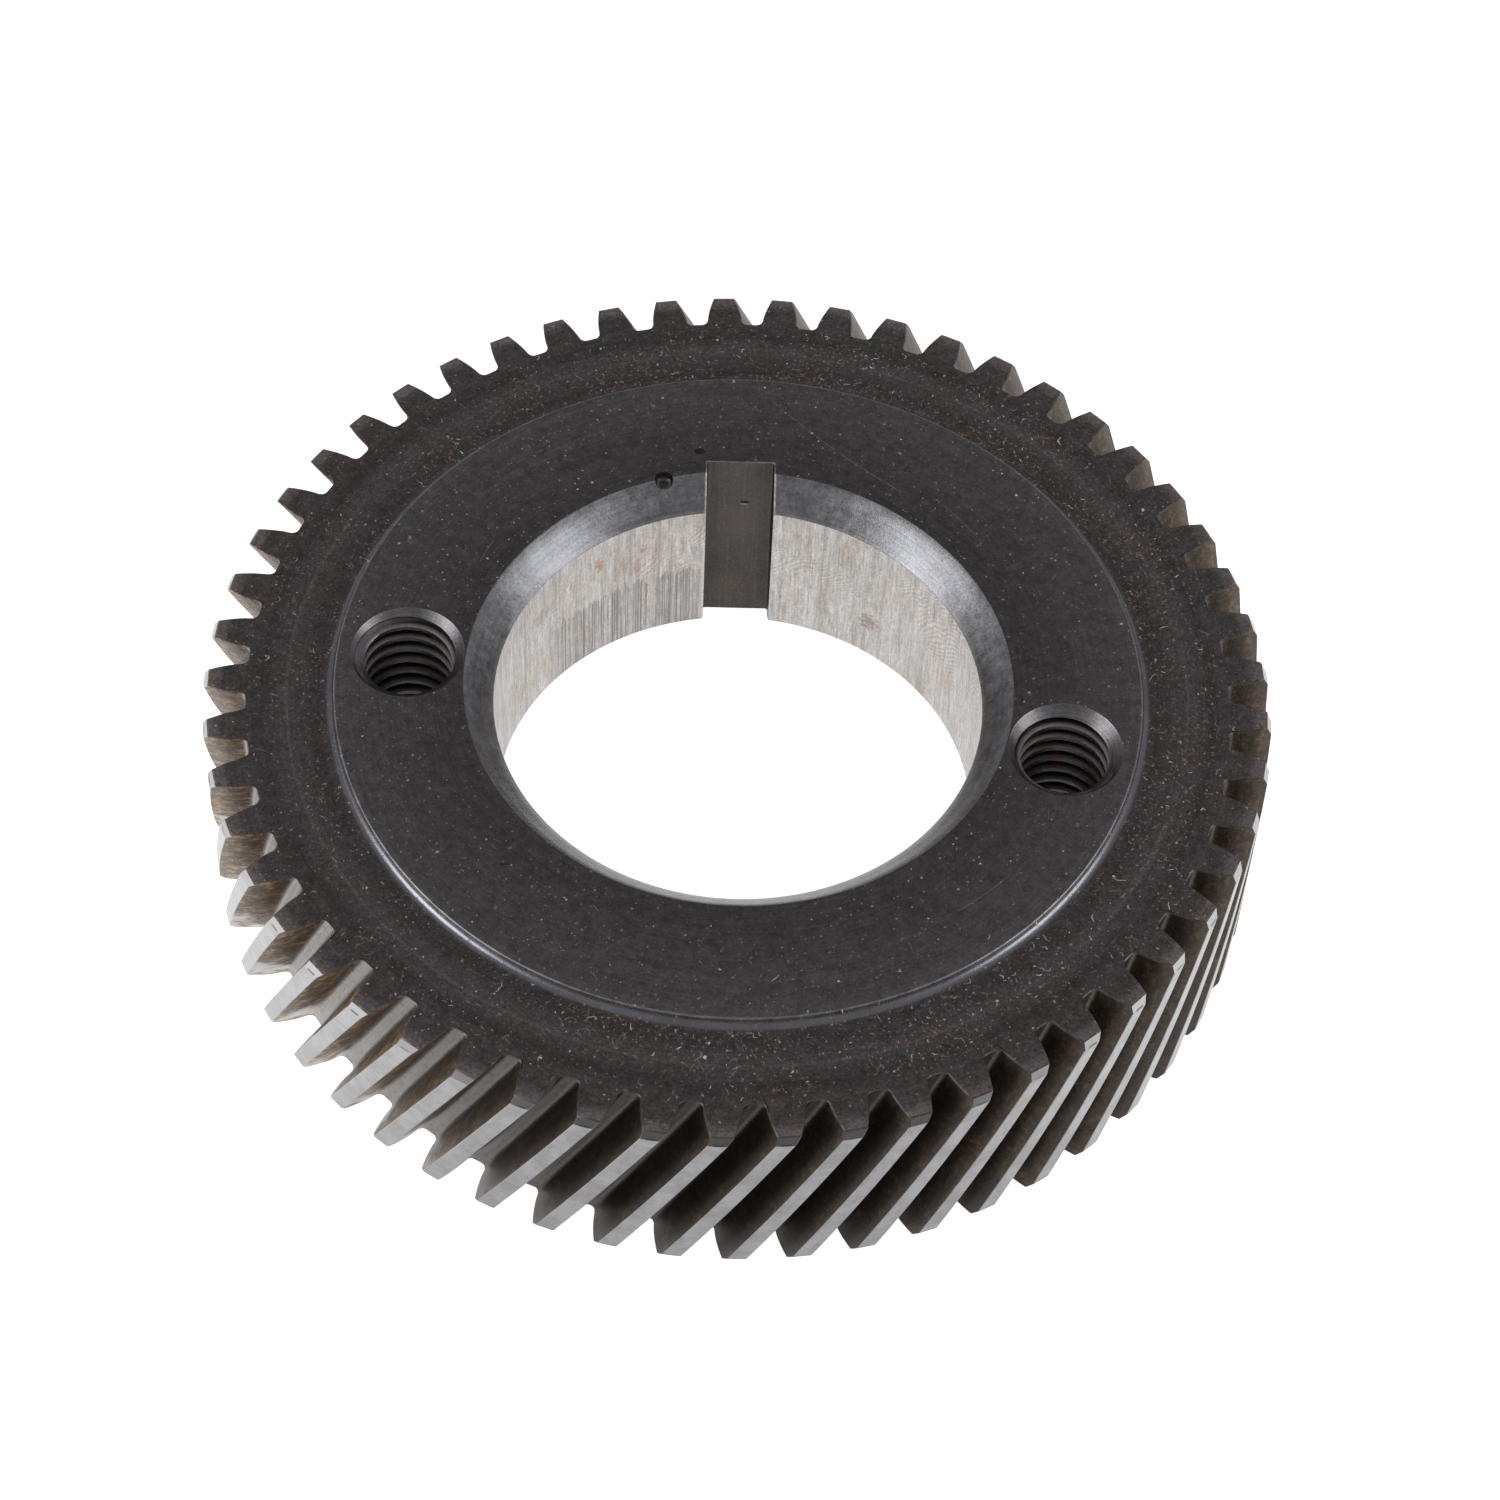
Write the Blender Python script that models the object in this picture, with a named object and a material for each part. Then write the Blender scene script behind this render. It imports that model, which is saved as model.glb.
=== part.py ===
"""Helical gear, right-hand helix, 53 teeth, normal module 1.

One machined piece of steel.  The blank is turned: a bore with a large chamfer
at each end, a hub face standing a little proud of the rim on both sides, and a
small tip chamfer at both ends of the toothed rim.  The teeth are hobbed, the
keyway is broached through the bore, and two countersunk M6 holes for
puller screws go through the web between the bore and the hub's edge.

Frame: metres, +Z along the gear's axis, origin on the axis at the back hub
face, keyway centred on +Y.
"""
import bpy
import bmesh
from math import atan, cos, pi, radians, sin, sqrt, tan, acos
from mathutils import Matrix

MM = 0.001

# ---------------------------------------------------------------- dimensions
TEETH = 53
NORMAL_MODULE = 1.0 * MM
HELIX_ANGLE = radians(26.0)          # right-hand
PRESSURE_ANGLE = radians(15.0)       # in the normal plane
ADDENDUM = 1.00 * NORMAL_MODULE
DEDENDUM = 1.42 * NORMAL_MODULE      # deep root, as a pre-grinding hob leaves it
BACKLASH = 0.035 * MM                # taken off the tooth at the pitch circle
ROOT_FILLET = 0.34 * MM
TOOTH_PHASE = radians(0.47)          # centre of a tooth space at the front rim face

RIM_WIDTH = 12.6 * MM                # face width of the teeth
HUB_RAISE = 0.55 * MM                # each side
TOTAL_WIDTH = RIM_WIDTH + 2 * HUB_RAISE
TIP_CHAMFER_RADIAL = 0.30 * MM
TIP_CHAMFER_AXIAL = 0.46 * MM

HUB_EDGE_R = 23.05 * MM              # sharp upper corner of the raised hub
HUB_FOOT_R = 23.60 * MM              # where the step's fillet runs out on the rim face
HUB_EDGE_BREAK = 0.12 * MM

BORE_R = 14.00 * MM
FRONT_CHAMFER_R = 15.65 * MM
FRONT_CHAMFER_DEPTH = 1.70 * MM
BACK_CHAMFER_R = 15.95 * MM
BACK_CHAMFER_DEPTH = 2.00 * MM

KEYWAY_WIDTH = 4.00 * MM
KEYWAY_FLOOR_R = 16.38 * MM          # from the axis to the keyway's floor

PULLER_HOLE_CIRCLE_R = 19.00 * MM
PULLER_HOLE_ANGLES = (radians(175.4), radians(-13.4))
PULLER_HOLE_R = 2.50 * MM            # M6 core diameter
COUNTERSINK_R = 3.26 * MM

TURNED_SEGMENTS = 96
HOLE_SEGMENTS = 32
HELIX_STEPS = 4                      # between the two tip chamfers

# ------------------------------------------------------------ derived values
M_T = NORMAL_MODULE / cos(HELIX_ANGLE)
PITCH_R = M_T * TEETH / 2
TIP_R = PITCH_R + ADDENDUM
ROOT_R = PITCH_R - DEDENDUM
ALPHA_T = atan(tan(PRESSURE_ANGLE) / cos(HELIX_ANGLE))
BASE_R = PITCH_R * cos(ALPHA_T)
TWIST_PER_M = tan(HELIX_ANGLE) / PITCH_R
PITCH_ANGLE = 2 * pi / TEETH


def involute(angle):
    return tan(angle) - angle


def space_half_angle(radius):
    """Half the angular width of the tooth space at a radius."""
    tooth_thickness = pi * M_T / 2 - BACKLASH
    half_tooth = (tooth_thickness / (2 * PITCH_R)
                  + involute(ALPHA_T) - involute(acos(BASE_R / radius)))
    return PITCH_ANGLE / 2 - half_tooth


def tooth_space_side(tip_radius):
    """(radius, half angle) points from the root circle to the tip, one side."""
    # The fillet touches the root circle and the flank.  Its centre sits one
    # fillet radius above the root circle and one fillet radius off the flank.
    centre_r = ROOT_R + ROOT_FILLET
    flank_gap = ROOT_FILLET / centre_r / cos(ALPHA_T)
    centre_a = max(space_half_angle(centre_r) - flank_gap, 0.0)
    points = [(ROOT_R, centre_a)]
    turn = pi / 2 - ALPHA_T * 0.75
    for step in (0.5, 1.0):
        t = turn * step
        x = centre_r * sin(centre_a) + ROOT_FILLET * sin(t)
        y = centre_r * cos(centre_a) - ROOT_FILLET * cos(t)
        r = sqrt(x * x + y * y)
        a = atan(x / y)
        if step == 1.0:
            a = space_half_angle(r)
        points.append((r, a))
    mid = (points[-1][0] + tip_radius) / 2
    for r in (mid, tip_radius):
        points.append((r, space_half_angle(r)))
    return points


def gear_loop(bm, z, tip_radius):
    """One closed loop of vertices round the teeth at height z."""
    front_face_z = TOTAL_WIDTH - HUB_RAISE
    side = tooth_space_side(tip_radius)
    loop = []
    for k in range(TEETH):
        centre = (TOOTH_PHASE + k * PITCH_ANGLE
                  + (z - front_face_z) * TWIST_PER_M)
        for r, a in reversed(side):
            loop.append((r, centre - a))
        for r, a in side:
            loop.append((r, centre + a))
    return [bm.verts.new((r * cos(t), r * sin(t), z)) for r, t in loop]


def circle_loop(bm, z, radius, segments=TURNED_SEGMENTS):
    return [bm.verts.new((radius * cos(2 * pi * i / segments),
                          radius * sin(2 * pi * i / segments), z))
            for i in range(segments)]


def skin(bm, lower, upper):
    """Quads between two loops that have the same number of vertices."""
    n = len(lower)
    for i in range(n):
        j = (i + 1) % n
        bm.faces.new((lower[i], lower[j], upper[j], upper[i]))


def annulus(bm, outer, inner):
    """Triangles between two concentric flat loops with different counts."""
    def unwrapped(loop):
        angles = []
        for v in loop:
            t = atan_full(v.co.y, v.co.x)
            if angles:
                while t < angles[-1] - pi:
                    t += 2 * pi
                while t > angles[-1] + pi:
                    t -= 2 * pi
            angles.append(t)
        return angles

    outer_t = unwrapped(outer)
    # start the inner loop at the vertex nearest to the outer loop's start
    start = min(range(len(inner)), key=lambda i: abs(
        angle_difference(atan_full(inner[i].co.y, inner[i].co.x), outer_t[0])))
    inner = inner[start:] + inner[:start]
    inner_t = unwrapped(inner)
    shift = angle_difference(inner_t[0], outer_t[0]) - (inner_t[0] - outer_t[0])
    inner_t = [t + shift for t in inner_t]
    outer_t.append(outer_t[0] + 2 * pi)
    inner_t.append(inner_t[0] + 2 * pi)
    i = j = 0
    while i < len(outer) or j < len(inner):
        step_outer = j >= len(inner) or (
            i < len(outer) and outer_t[i + 1] <= inner_t[j + 1])
        a, b = outer[i % len(outer)], inner[j % len(inner)]
        if step_outer:
            bm.faces.new((a, outer[(i + 1) % len(outer)], b))
            i += 1
        else:
            bm.faces.new((a, inner[(j + 1) % len(inner)], b))
            j += 1


def atan_full(y, x):
    t = acos(max(-1.0, min(1.0, x / sqrt(x * x + y * y))))
    return t if y >= 0 else -t


def angle_difference(a, b):
    d = (a - b) % (2 * pi)
    return d - 2 * pi if d > pi else d


def hub_side(bm, sign, chamfer_r, chamfer_depth):
    """The turned loops from the rim face inward to the bore, on one side."""
    rim_z = TOTAL_WIDTH - HUB_RAISE if sign > 0 else HUB_RAISE
    face_z = TOTAL_WIDTH if sign > 0 else 0.0
    fillet = HUB_FOOT_R - HUB_EDGE_R
    stations = [(HUB_FOOT_R, rim_z)]
    for t in (0.38, 0.75):
        angle = pi / 2 * t
        stations.append((HUB_FOOT_R - fillet * sin(angle),
                         rim_z + sign * 0.75 * HUB_RAISE * (1 - cos(angle))))
    stations.append((HUB_EDGE_R, face_z - sign * HUB_EDGE_BREAK))
    stations.append((HUB_EDGE_R - HUB_EDGE_BREAK, face_z))
    stations.append((chamfer_r, face_z))
    stations.append((BORE_R, face_z - sign * chamfer_depth))
    return [circle_loop(bm, z, r) for r, z in stations]


def new_object(name, bm):
    bmesh.ops.recalc_face_normals(bm, faces=bm.faces)
    mesh = bpy.data.meshes.new(name)
    bm.to_mesh(mesh)
    bm.free()
    obj = bpy.data.objects.new(name, mesh)
    bpy.context.scene.collection.objects.link(obj)
    return obj


def build_gear_body():
    bm = bmesh.new()
    low_z, high_z = HUB_RAISE, TOTAL_WIDTH - HUB_RAISE
    chamfer_tip = TIP_R - TIP_CHAMFER_RADIAL
    levels = [(low_z, chamfer_tip)]
    first, last = low_z + TIP_CHAMFER_AXIAL, high_z - TIP_CHAMFER_AXIAL
    for s in range(HELIX_STEPS + 1):
        levels.append((first + (last - first) * s / HELIX_STEPS, TIP_R))
    levels.append((high_z, chamfer_tip))
    toothed = [gear_loop(bm, z, tip) for z, tip in levels]
    for lower, upper in zip(toothed, toothed[1:]):
        skin(bm, lower, upper)

    front = hub_side(bm, +1, FRONT_CHAMFER_R, FRONT_CHAMFER_DEPTH)
    back = hub_side(bm, -1, BACK_CHAMFER_R, BACK_CHAMFER_DEPTH)
    annulus(bm, toothed[-1], front[0])
    annulus(bm, toothed[0], back[0])
    for loops in (front, back):
        for outer, inner in zip(loops, loops[1:]):
            skin(bm, outer, inner)
    skin(bm, front[-1], back[-1])
    return new_object("helical_gear", bm)


def build_keyway_cutter():
    bm = bmesh.new()
    inner_y = BORE_R * 0.6
    bmesh.ops.create_cube(bm, size=1.0)
    bmesh.ops.scale(bm, verts=bm.verts, vec=(
        KEYWAY_WIDTH, KEYWAY_FLOOR_R - inner_y, TOTAL_WIDTH * 1.5))
    bmesh.ops.translate(bm, verts=bm.verts, vec=(
        0.0, (KEYWAY_FLOOR_R + inner_y) / 2, TOTAL_WIDTH / 2))
    return new_object("keyway_cutter", bm)


def build_puller_hole_cutter(index, angle):
    """A turned cutter: core hole with a countersink at each face."""
    over = 1.0 * MM
    sink = COUNTERSINK_R - PULLER_HOLE_R
    stations = [
        (COUNTERSINK_R + over, -over),
        (PULLER_HOLE_R, sink),
        (PULLER_HOLE_R, TOTAL_WIDTH - sink),
        (COUNTERSINK_R + over, TOTAL_WIDTH + over),
    ]
    bm = bmesh.new()
    loops = [circle_loop(bm, z, r, HOLE_SEGMENTS) for r, z in stations]
    for lower, upper in zip(loops, loops[1:]):
        skin(bm, lower, upper)
    bm.faces.new(loops[0])
    bm.faces.new(loops[-1])
    bmesh.ops.transform(bm, verts=bm.verts, matrix=Matrix.Translation((
        PULLER_HOLE_CIRCLE_R * cos(angle), PULLER_HOLE_CIRCLE_R * sin(angle), 0)))
    return new_object("puller_hole_cutter_%d" % index, bm)


def steel(name, colour, roughness):
    material = bpy.data.materials.new(name)
    material.use_nodes = True
    shader = material.node_tree.nodes["Principled BSDF"]
    shader.inputs["Base Color"].default_value = (*colour, 1.0)
    shader.inputs["Metallic"].default_value = 1.0
    shader.inputs["Roughness"].default_value = roughness
    return material


def main():
    for obj in list(bpy.data.objects):
        bpy.data.objects.remove(obj, do_unlink=True)

    gear = build_gear_body()
    gear.data.materials.append(steel("blackened_steel", (0.060, 0.058, 0.062), 0.45))

    cutters = [build_keyway_cutter()]
    for index, angle in enumerate(PULLER_HOLE_ANGLES):
        cutters.append(build_puller_hole_cutter(index + 1, angle))
    for cutter in cutters:
        cutter.hide_render = True
        cutter.display_type = 'WIRE'
        cut = gear.modifiers.new(cutter.name, 'BOOLEAN')
        cut.operation = 'DIFFERENCE'
        cut.solver = 'EXACT'
        cut.object = cutter

    gear.data.shade_smooth()
    gear.data.set_sharp_from_angle(angle=radians(32))


main()
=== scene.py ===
import bmesh
import bpy
import numpy as np
from math import acos, atan, atan2, cos, degrees, pi, radians, sin, sqrt, tan
from mathutils import Matrix, Vector


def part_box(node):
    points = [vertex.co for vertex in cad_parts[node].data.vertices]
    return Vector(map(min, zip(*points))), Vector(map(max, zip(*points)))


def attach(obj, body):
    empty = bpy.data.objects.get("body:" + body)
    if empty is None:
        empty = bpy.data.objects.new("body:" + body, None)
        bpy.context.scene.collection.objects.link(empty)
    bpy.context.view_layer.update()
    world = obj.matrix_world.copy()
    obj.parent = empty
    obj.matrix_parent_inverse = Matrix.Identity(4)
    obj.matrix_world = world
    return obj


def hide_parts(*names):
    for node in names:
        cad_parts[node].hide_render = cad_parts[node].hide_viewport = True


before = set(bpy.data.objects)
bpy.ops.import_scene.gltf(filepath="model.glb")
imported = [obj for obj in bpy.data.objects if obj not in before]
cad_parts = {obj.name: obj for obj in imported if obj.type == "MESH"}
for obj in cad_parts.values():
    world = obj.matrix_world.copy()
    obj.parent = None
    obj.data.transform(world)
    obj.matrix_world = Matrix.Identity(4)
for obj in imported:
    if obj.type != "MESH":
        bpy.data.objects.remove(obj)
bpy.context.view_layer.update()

MM = 0.001
NODE = "helical_gear"
LOW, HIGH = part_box(NODE)

# ------------------------------------------------------------------ sizes, mm
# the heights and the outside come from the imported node, the rest repeats the design
HUB_TOP = HIGH.z / MM
HUB_BOTTOM = LOW.z / MM
TIP_R = min(HIGH.x, HIGH.y, -LOW.x, -LOW.y) / MM
HUB_RAISE = 0.55
RIM_TOP = HUB_TOP - HUB_RAISE
RIM_BOTTOM = HUB_BOTTOM + HUB_RAISE

TEETH = 53
HELIX = radians(26.0)
M_T = 1.0 / cos(HELIX)
PITCH_R = M_T * TEETH / 2
ROOT_R = PITCH_R - 1.42
ALPHA_T = atan(tan(radians(15.0)) / cos(HELIX))
BASE_R = PITCH_R * cos(ALPHA_T)
TWIST = tan(HELIX) / PITCH_R
PHASE = radians(0.47)
PITCH_ANGLE = 2 * pi / TEETH
ROOT_FILLET = 0.36
THINNING = 0.035         # each tooth is this much thinner than half the pitch
TIP_CH_R, TIP_CH_Z = 0.30, 0.46
EDGE_BREAK = 0.06

BLANK_R = 27.30          # the turned inner body ends here and the toothed rim starts
HUB_EDGE_R, HUB_FOOT_R = 23.05, 23.62
BORE_R = 14.0
SEGMENTS = 384

HOLE_CIRCLE = 19.0
HOLE_ANGLES = (radians(175.4), radians(-13.4))
THREAD_CORE, THREAD_ROOT, THREAD_PITCH = 2.50, 3.02, 1.0
SINK_R = 3.26

POCKET_ANGLE, POCKET_R = radians(106.9), 15.62

# marks on the front hub face, mm from the axis
SCRATCH_A, SCRATCH_B = (9.6, 14.3), (1.6, 21.6)
SMUDGE = (-2.45, 17.2)

SLOTS = ("face", "bore", "chamfer", "keyway", "hole", "flank", "land")


# ============================================================== mesh building
def involute(a):
    return tan(a) - a


def space_half(r):
    return PITCH_ANGLE / 2 - ((pi * M_T / 2 - THINNING) / (2 * PITCH_R)
                              + involute(ALPHA_T) - involute(acos(BASE_R / r)))


def space_profile(tip_r):
    """Half a tooth space as (x, y) with the space's middle on +Y: root, fillet, flank, tip."""
    centre_r = ROOT_R + ROOT_FILLET
    centre_a = max(space_half(centre_r) - ROOT_FILLET / centre_r / cos(ALPHA_T), 0.0)
    pts = []
    for s in (0.0, 0.5):
        a = centre_a * s
        pts.append((ROOT_R * sin(a), ROOT_R * cos(a)))
    turn = pi / 2 - ALPHA_T * 0.75
    for s in (0.0, 0.25, 0.5, 0.75, 1.0):
        t = turn * s
        x = centre_r * sin(centre_a) + ROOT_FILLET * sin(t)
        y = centre_r * cos(centre_a) - ROOT_FILLET * cos(t)
        if s == 1.0:
            r = sqrt(x * x + y * y)
            a = space_half(r)
            x, y = r * sin(a), r * cos(a)
        pts.append((x, y))
    r0 = sqrt(pts[-1][0] ** 2 + pts[-1][1] ** 2)
    nick = 0.035                                  # tiny round on the tip corner
    for s in (0.2, 0.4, 0.6, 0.8, 1.0):
        r = r0 + (tip_r - nick - r0) * s
        a = space_half(r)
        pts.append((r * sin(a), r * cos(a)))
    a = space_half(tip_r) + nick / tip_r
    pts.append((tip_r * sin(a), tip_r * cos(a)))
    return pts


def tooth_ring(z, tip_r, shrink):
    """All points round the teeth at height z; shrink moves the outline into the steel."""
    half = space_profile(tip_r)
    space = [(-x, y) for x, y in reversed(half)] + half[1:]
    space = np.array(space)
    n = len(space)
    loop = np.zeros((TEETH * n, 2))
    for k in range(TEETH):
        a = PHASE + k * PITCH_ANGLE + (z - RIM_TOP) * TWIST - pi / 2
        # the space is drawn on +Y; going round anticlockwise means x runs from + to -
        c, s = cos(a), sin(a)
        pts = space[::-1]
        loop[k * n:(k + 1) * n, 0] = c * pts[:, 0] - s * pts[:, 1]
        loop[k * n:(k + 1) * n, 1] = s * pts[:, 0] + c * pts[:, 1]
    if shrink:
        before, after = np.roll(loop, 1, 0), np.roll(loop, -1, 0)
        d = after - before
        d /= np.linalg.norm(d, axis=1)[:, None]
        inward = np.stack([-d[:, 1], d[:, 0]], 1)
        loop = loop + inward * shrink
    return [(x, y, z) for x, y in loop]


def circle(z, r, n=SEGMENTS):
    return [(r * cos(2 * pi * i / n), r * sin(2 * pi * i / n), z) for i in range(n)]


def add_loop(bm, pts):
    return [bm.verts.new(p) for p in pts]


def skin(bm, a, b):
    n = len(a)
    for i in range(n):
        j = (i + 1) % n
        bm.faces.new((a[i], a[j], b[j], b[i]))


def zip_loops(bm, outer, inner):
    """Triangles between two flat concentric loops with different counts."""
    def angles(loop):
        t = np.unwrap([atan2(v.co.y, v.co.x) for v in loop])
        return t if t[-1] > t[0] else None
    t_out = angles(outer)
    if t_out is None:
        outer = outer[::-1]
        t_out = angles(outer)
    t_in = angles(inner)
    if t_in is None:
        inner = inner[::-1]
        t_in = angles(inner)
    gap = [abs((t - t_out[0] + pi) % (2 * pi) - pi) for t in t_in]
    k = int(np.argmin(gap))
    inner = inner[k:] + inner[:k]
    t_in = np.array(angles(inner))
    t_in += 2 * pi * round((t_out[0] - t_in[0]) / (2 * pi))
    t_out = np.append(t_out, t_out[0] + 2 * pi)
    t_in = np.append(t_in, t_in[0] + 2 * pi)
    i = j = 0
    while i < len(outer) or j < len(inner):
        a, b = outer[i % len(outer)], inner[j % len(inner)]
        if j >= len(inner) or (i < len(outer) and t_out[i + 1] <= t_in[j + 1]):
            bm.faces.new((a, outer[(i + 1) % len(outer)], b))
            i += 1
        else:
            bm.faces.new((a, inner[(j + 1) % len(inner)], b))
            j += 1


def side_stations(sign):
    """The turned section on one side, from the toothed rim in to the bore."""
    rim = RIM_TOP if sign > 0 else RIM_BOTTOM
    top = HUB_TOP if sign > 0 else HUB_BOTTOM
    s = -sign                                     # into the steel
    st = [(BLANK_R, rim), (26.98, rim), (26.90, rim + s * 0.035), (25.84, rim + s * 0.035),
          (25.78, rim + s * 0.06), (25.70, rim + s * 0.06), (25.64, rim + s * 0.035),
          (24.40, rim + s * 0.03), (HUB_FOOT_R + 0.06, rim + s * 0.02)]
    # concave fillet of the step, then the short wall and the broken edge
    f = HUB_FOOT_R - HUB_EDGE_R
    base = rim + s * 0.02
    rise = abs(top - base) - 0.17
    for t in np.linspace(0.08, 0.88, 8):
        a = pi / 2 * t
        st.append((HUB_FOOT_R - f * sin(a), base + sign * rise * (1 - cos(a))))
    st += [(HUB_EDGE_R + 0.005, top - sign * 0.10), (HUB_EDGE_R - 0.015, top - sign * 0.045),
           (HUB_EDGE_R - 0.06, top - sign * 0.008), (HUB_EDGE_R - 0.10, top)]
    ch_r, ch_d = (15.65, 1.70) if sign > 0 else (15.95, 2.00)
    st += [(22.0, top), (20.0, top), (18.0, top), (16.4, top)]
    e = 0.03
    st += [(ch_r + e, top), (ch_r - e, top - sign * e)]
    for t in (0.33, 0.66):
        st.append((ch_r + (BORE_R - ch_r) * t, top - sign * ch_d * t))
    st += [(BORE_R + e, top - sign * (ch_d - e)), (BORE_R, top - sign * (ch_d + e))]
    return st


def to_object(name, bm):
    bmesh.ops.recalc_face_normals(bm, faces=bm.faces)
    me = bpy.data.meshes.new(name)
    bm.to_mesh(me)
    bm.free()
    ob = bpy.data.objects.new(name, me)
    bpy.context.scene.collection.objects.link(ob)
    return ob


def turned_body():
    bm = bmesh.new()
    top = [add_loop(bm, circle(z, r)) for r, z in side_stations(+1)]
    bottom = [add_loop(bm, circle(z, r)) for r, z in side_stations(-1)]
    for loops in (top, bottom):
        for a, b in zip(loops, loops[1:]):
            skin(bm, a, b)
    wall_top, wall_bottom = top[-1], bottom[-1]
    z0, z1 = wall_top[0].co.z, wall_bottom[0].co.z
    mid = [add_loop(bm, circle(z0 + (z1 - z0) * t, BORE_R)) for t in (0.25, 0.5, 0.75)]
    chain = [wall_top] + mid + [wall_bottom]
    for a, b in zip(chain, chain[1:]):
        skin(bm, a, b)
    skin(bm, top[0], bottom[0])
    return to_object("turned_body", bm)


def thread_cutter(x, y, start):
    """A closed screw-shaped solid: the inside of a tapped hole."""
    m = 56
    lines = [(0.00, 0), (0.13, 0), (0.26, 0), (0.335, 0.3), (0.41, 0.62), (0.52, 1),
             (0.60, 1.06), (0.68, 1), (0.79, 0.62), (0.90, 0.22)]
    per = len(lines)
    bottom, top = HUB_BOTTOM - 2.6, HUB_TOP + 1.2
    turns = int((top - bottom) / THREAD_PITCH)
    total = turns * per
    bm = bmesh.new()

    def point(i, j):
        phase, depth = lines[j % per]
        z = bottom + THREAD_PITCH * (j // per + phase + i / m)
        r = THREAD_CORE + (THREAD_ROOT - THREAD_CORE) * depth
        a = start + 2 * pi * i / m
        return (x + r * cos(a), y + r * sin(a), z)

    v = {}
    for i in range(m):
        for j in range(total + 1 + (per if i == 0 else 0)):
            v[i, j] = bm.verts.new(point(i, j))

    def at(i, j):
        return v[0, j + per] if i == m else v[i, j]

    for i in range(m):
        for j in range(total):
            bm.faces.new((at(i, j), at(i + 1, j), at(i + 1, j + 1), at(i, j + 1)))
    low = [bm.verts.new((x + THREAD_CORE * cos(start + 2 * pi * i / m),
                         y + THREAD_CORE * sin(start + 2 * pi * i / m), bottom - 0.6)) for i in range(m)]
    high_z = bottom + THREAD_PITCH * (turns + 1) + 0.8
    high = [bm.verts.new((x + THREAD_CORE * cos(start + 2 * pi * i / m),
                          y + THREAD_CORE * sin(start + 2 * pi * i / m), high_z)) for i in range(m)]
    for i in range(m - 1):
        bm.faces.new((low[i], low[i + 1], v[i + 1, 0], v[i, 0]))
    bm.faces.new([low[m - 1], low[0]] + [v[0, j] for j in range(per + 1)] + [v[m - 1, 0]])
    for i in range(1, m - 1):
        bm.faces.new((v[i, total], v[i + 1, total], high[i + 1], high[i]))
    bm.faces.new((v[m - 1, total], v[0, total + per], high[0], high[m - 1]))
    bm.faces.new([high[0]] + [v[0, total + per - j] for j in range(per + 1)] + [v[1, total], high[1]])
    bm.faces.new(list(reversed(low)))
    bm.faces.new(high)
    return to_object("thread_cutter", bm)


def sink_cutter(x, y):
    """Both countersinks of one hole and the core between them."""
    depth = SINK_R - THREAD_CORE + 0.08
    st = [(SINK_R + 1.0, HUB_BOTTOM - 1.0), (SINK_R, HUB_BOTTOM), (THREAD_CORE - 0.08, HUB_BOTTOM + depth),
          (THREAD_CORE - 0.08, HUB_TOP - depth), (SINK_R, HUB_TOP), (SINK_R + 1.0, HUB_TOP + 1.0)]
    bm = bmesh.new()
    loops = [add_loop(bm, [(x + p[0], y + p[1], p[2]) for p in circle(z, r, 96)]) for r, z in st]
    for a, b in zip(loops, loops[1:]):
        skin(bm, a, b)
    bm.faces.new(loops[0])
    bm.faces.new(loops[-1])
    return to_object("sink_cutter", bm)


def keyway_cutter():
    """Slot with lightly rounded floor corners."""
    half, floor, inner, rad = 2.0, 16.38, 10.0, 0.16
    section = [(-half, inner), (half, inner)]
    for t in np.linspace(0, pi / 2, 5):
        section.append((half - rad + rad * cos(t), floor - rad + rad * sin(t)))
    for t in np.linspace(pi / 2, pi, 5):
        section.append((-half + rad + rad * cos(t), floor - rad + rad * sin(t)))
    bm = bmesh.new()
    a = add_loop(bm, [(p, q, HUB_BOTTOM - 2) for p, q in section])
    b = add_loop(bm, [(p, q, HUB_TOP + 2) for p, q in section])
    skin(bm, a, b)
    bm.faces.new(a)
    bm.faces.new(b)
    return to_object("keyway_cutter", bm)


def pocket_cutter(angle, radius):
    """A small round-bottomed pocket sunk into the edge of the bore's chamfer."""
    st = [(0.30, -0.49), (0.40, -0.465), (0.47, -0.40), (0.52, -0.28), (0.545, -0.12), (0.56, 0.3)]
    x, y = radius * cos(angle), radius * sin(angle)
    bm = bmesh.new()
    loops = [add_loop(bm, [(x + p[0], y + p[1], p[2]) for p in circle(HUB_TOP + z, r, 36)]) for r, z in st]
    for a, b in zip(loops, loops[1:]):
        skin(bm, a, b)
    bm.faces.new(loops[0])
    bm.faces.new(loops[-1])
    return to_object("pocket_cutter", bm)


def subtract(body, cutters):
    for c in cutters:
        m = body.modifiers.new("cut", 'BOOLEAN')
        m.operation, m.solver, m.object = 'DIFFERENCE', 'EXACT', c
    bpy.context.view_layer.update()
    dg = bpy.context.evaluated_depsgraph_get()
    me = bpy.data.meshes.new_from_object(body.evaluated_get(dg), depsgraph=dg)
    body.modifiers.clear()
    for c in cutters:
        bpy.data.objects.remove(c, do_unlink=True)
    return me


def in_pocket(c, n):
    """True on the pocket's floor and round wall, false on the chamfer and face beside it."""
    x, y = c.x - POCKET_R * cos(POCKET_ANGLE), c.y - POCKET_R * sin(POCKET_ANGLE)
    inward = -(n.x * x + n.y * y) / max(sqrt(x * x + y * y), 1e-6)
    if c.z > HUB_TOP - 1e-3:
        return False
    on_floor = c.z < HUB_TOP - 0.485 and n.z > 0.98
    return on_floor or (inward > 0.25 and abs(c.z - HUB_TOP + (15.65 - sqrt(c.x ** 2 + c.y ** 2)) * 1.03) > 0.02) or inward > 0.85


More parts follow.
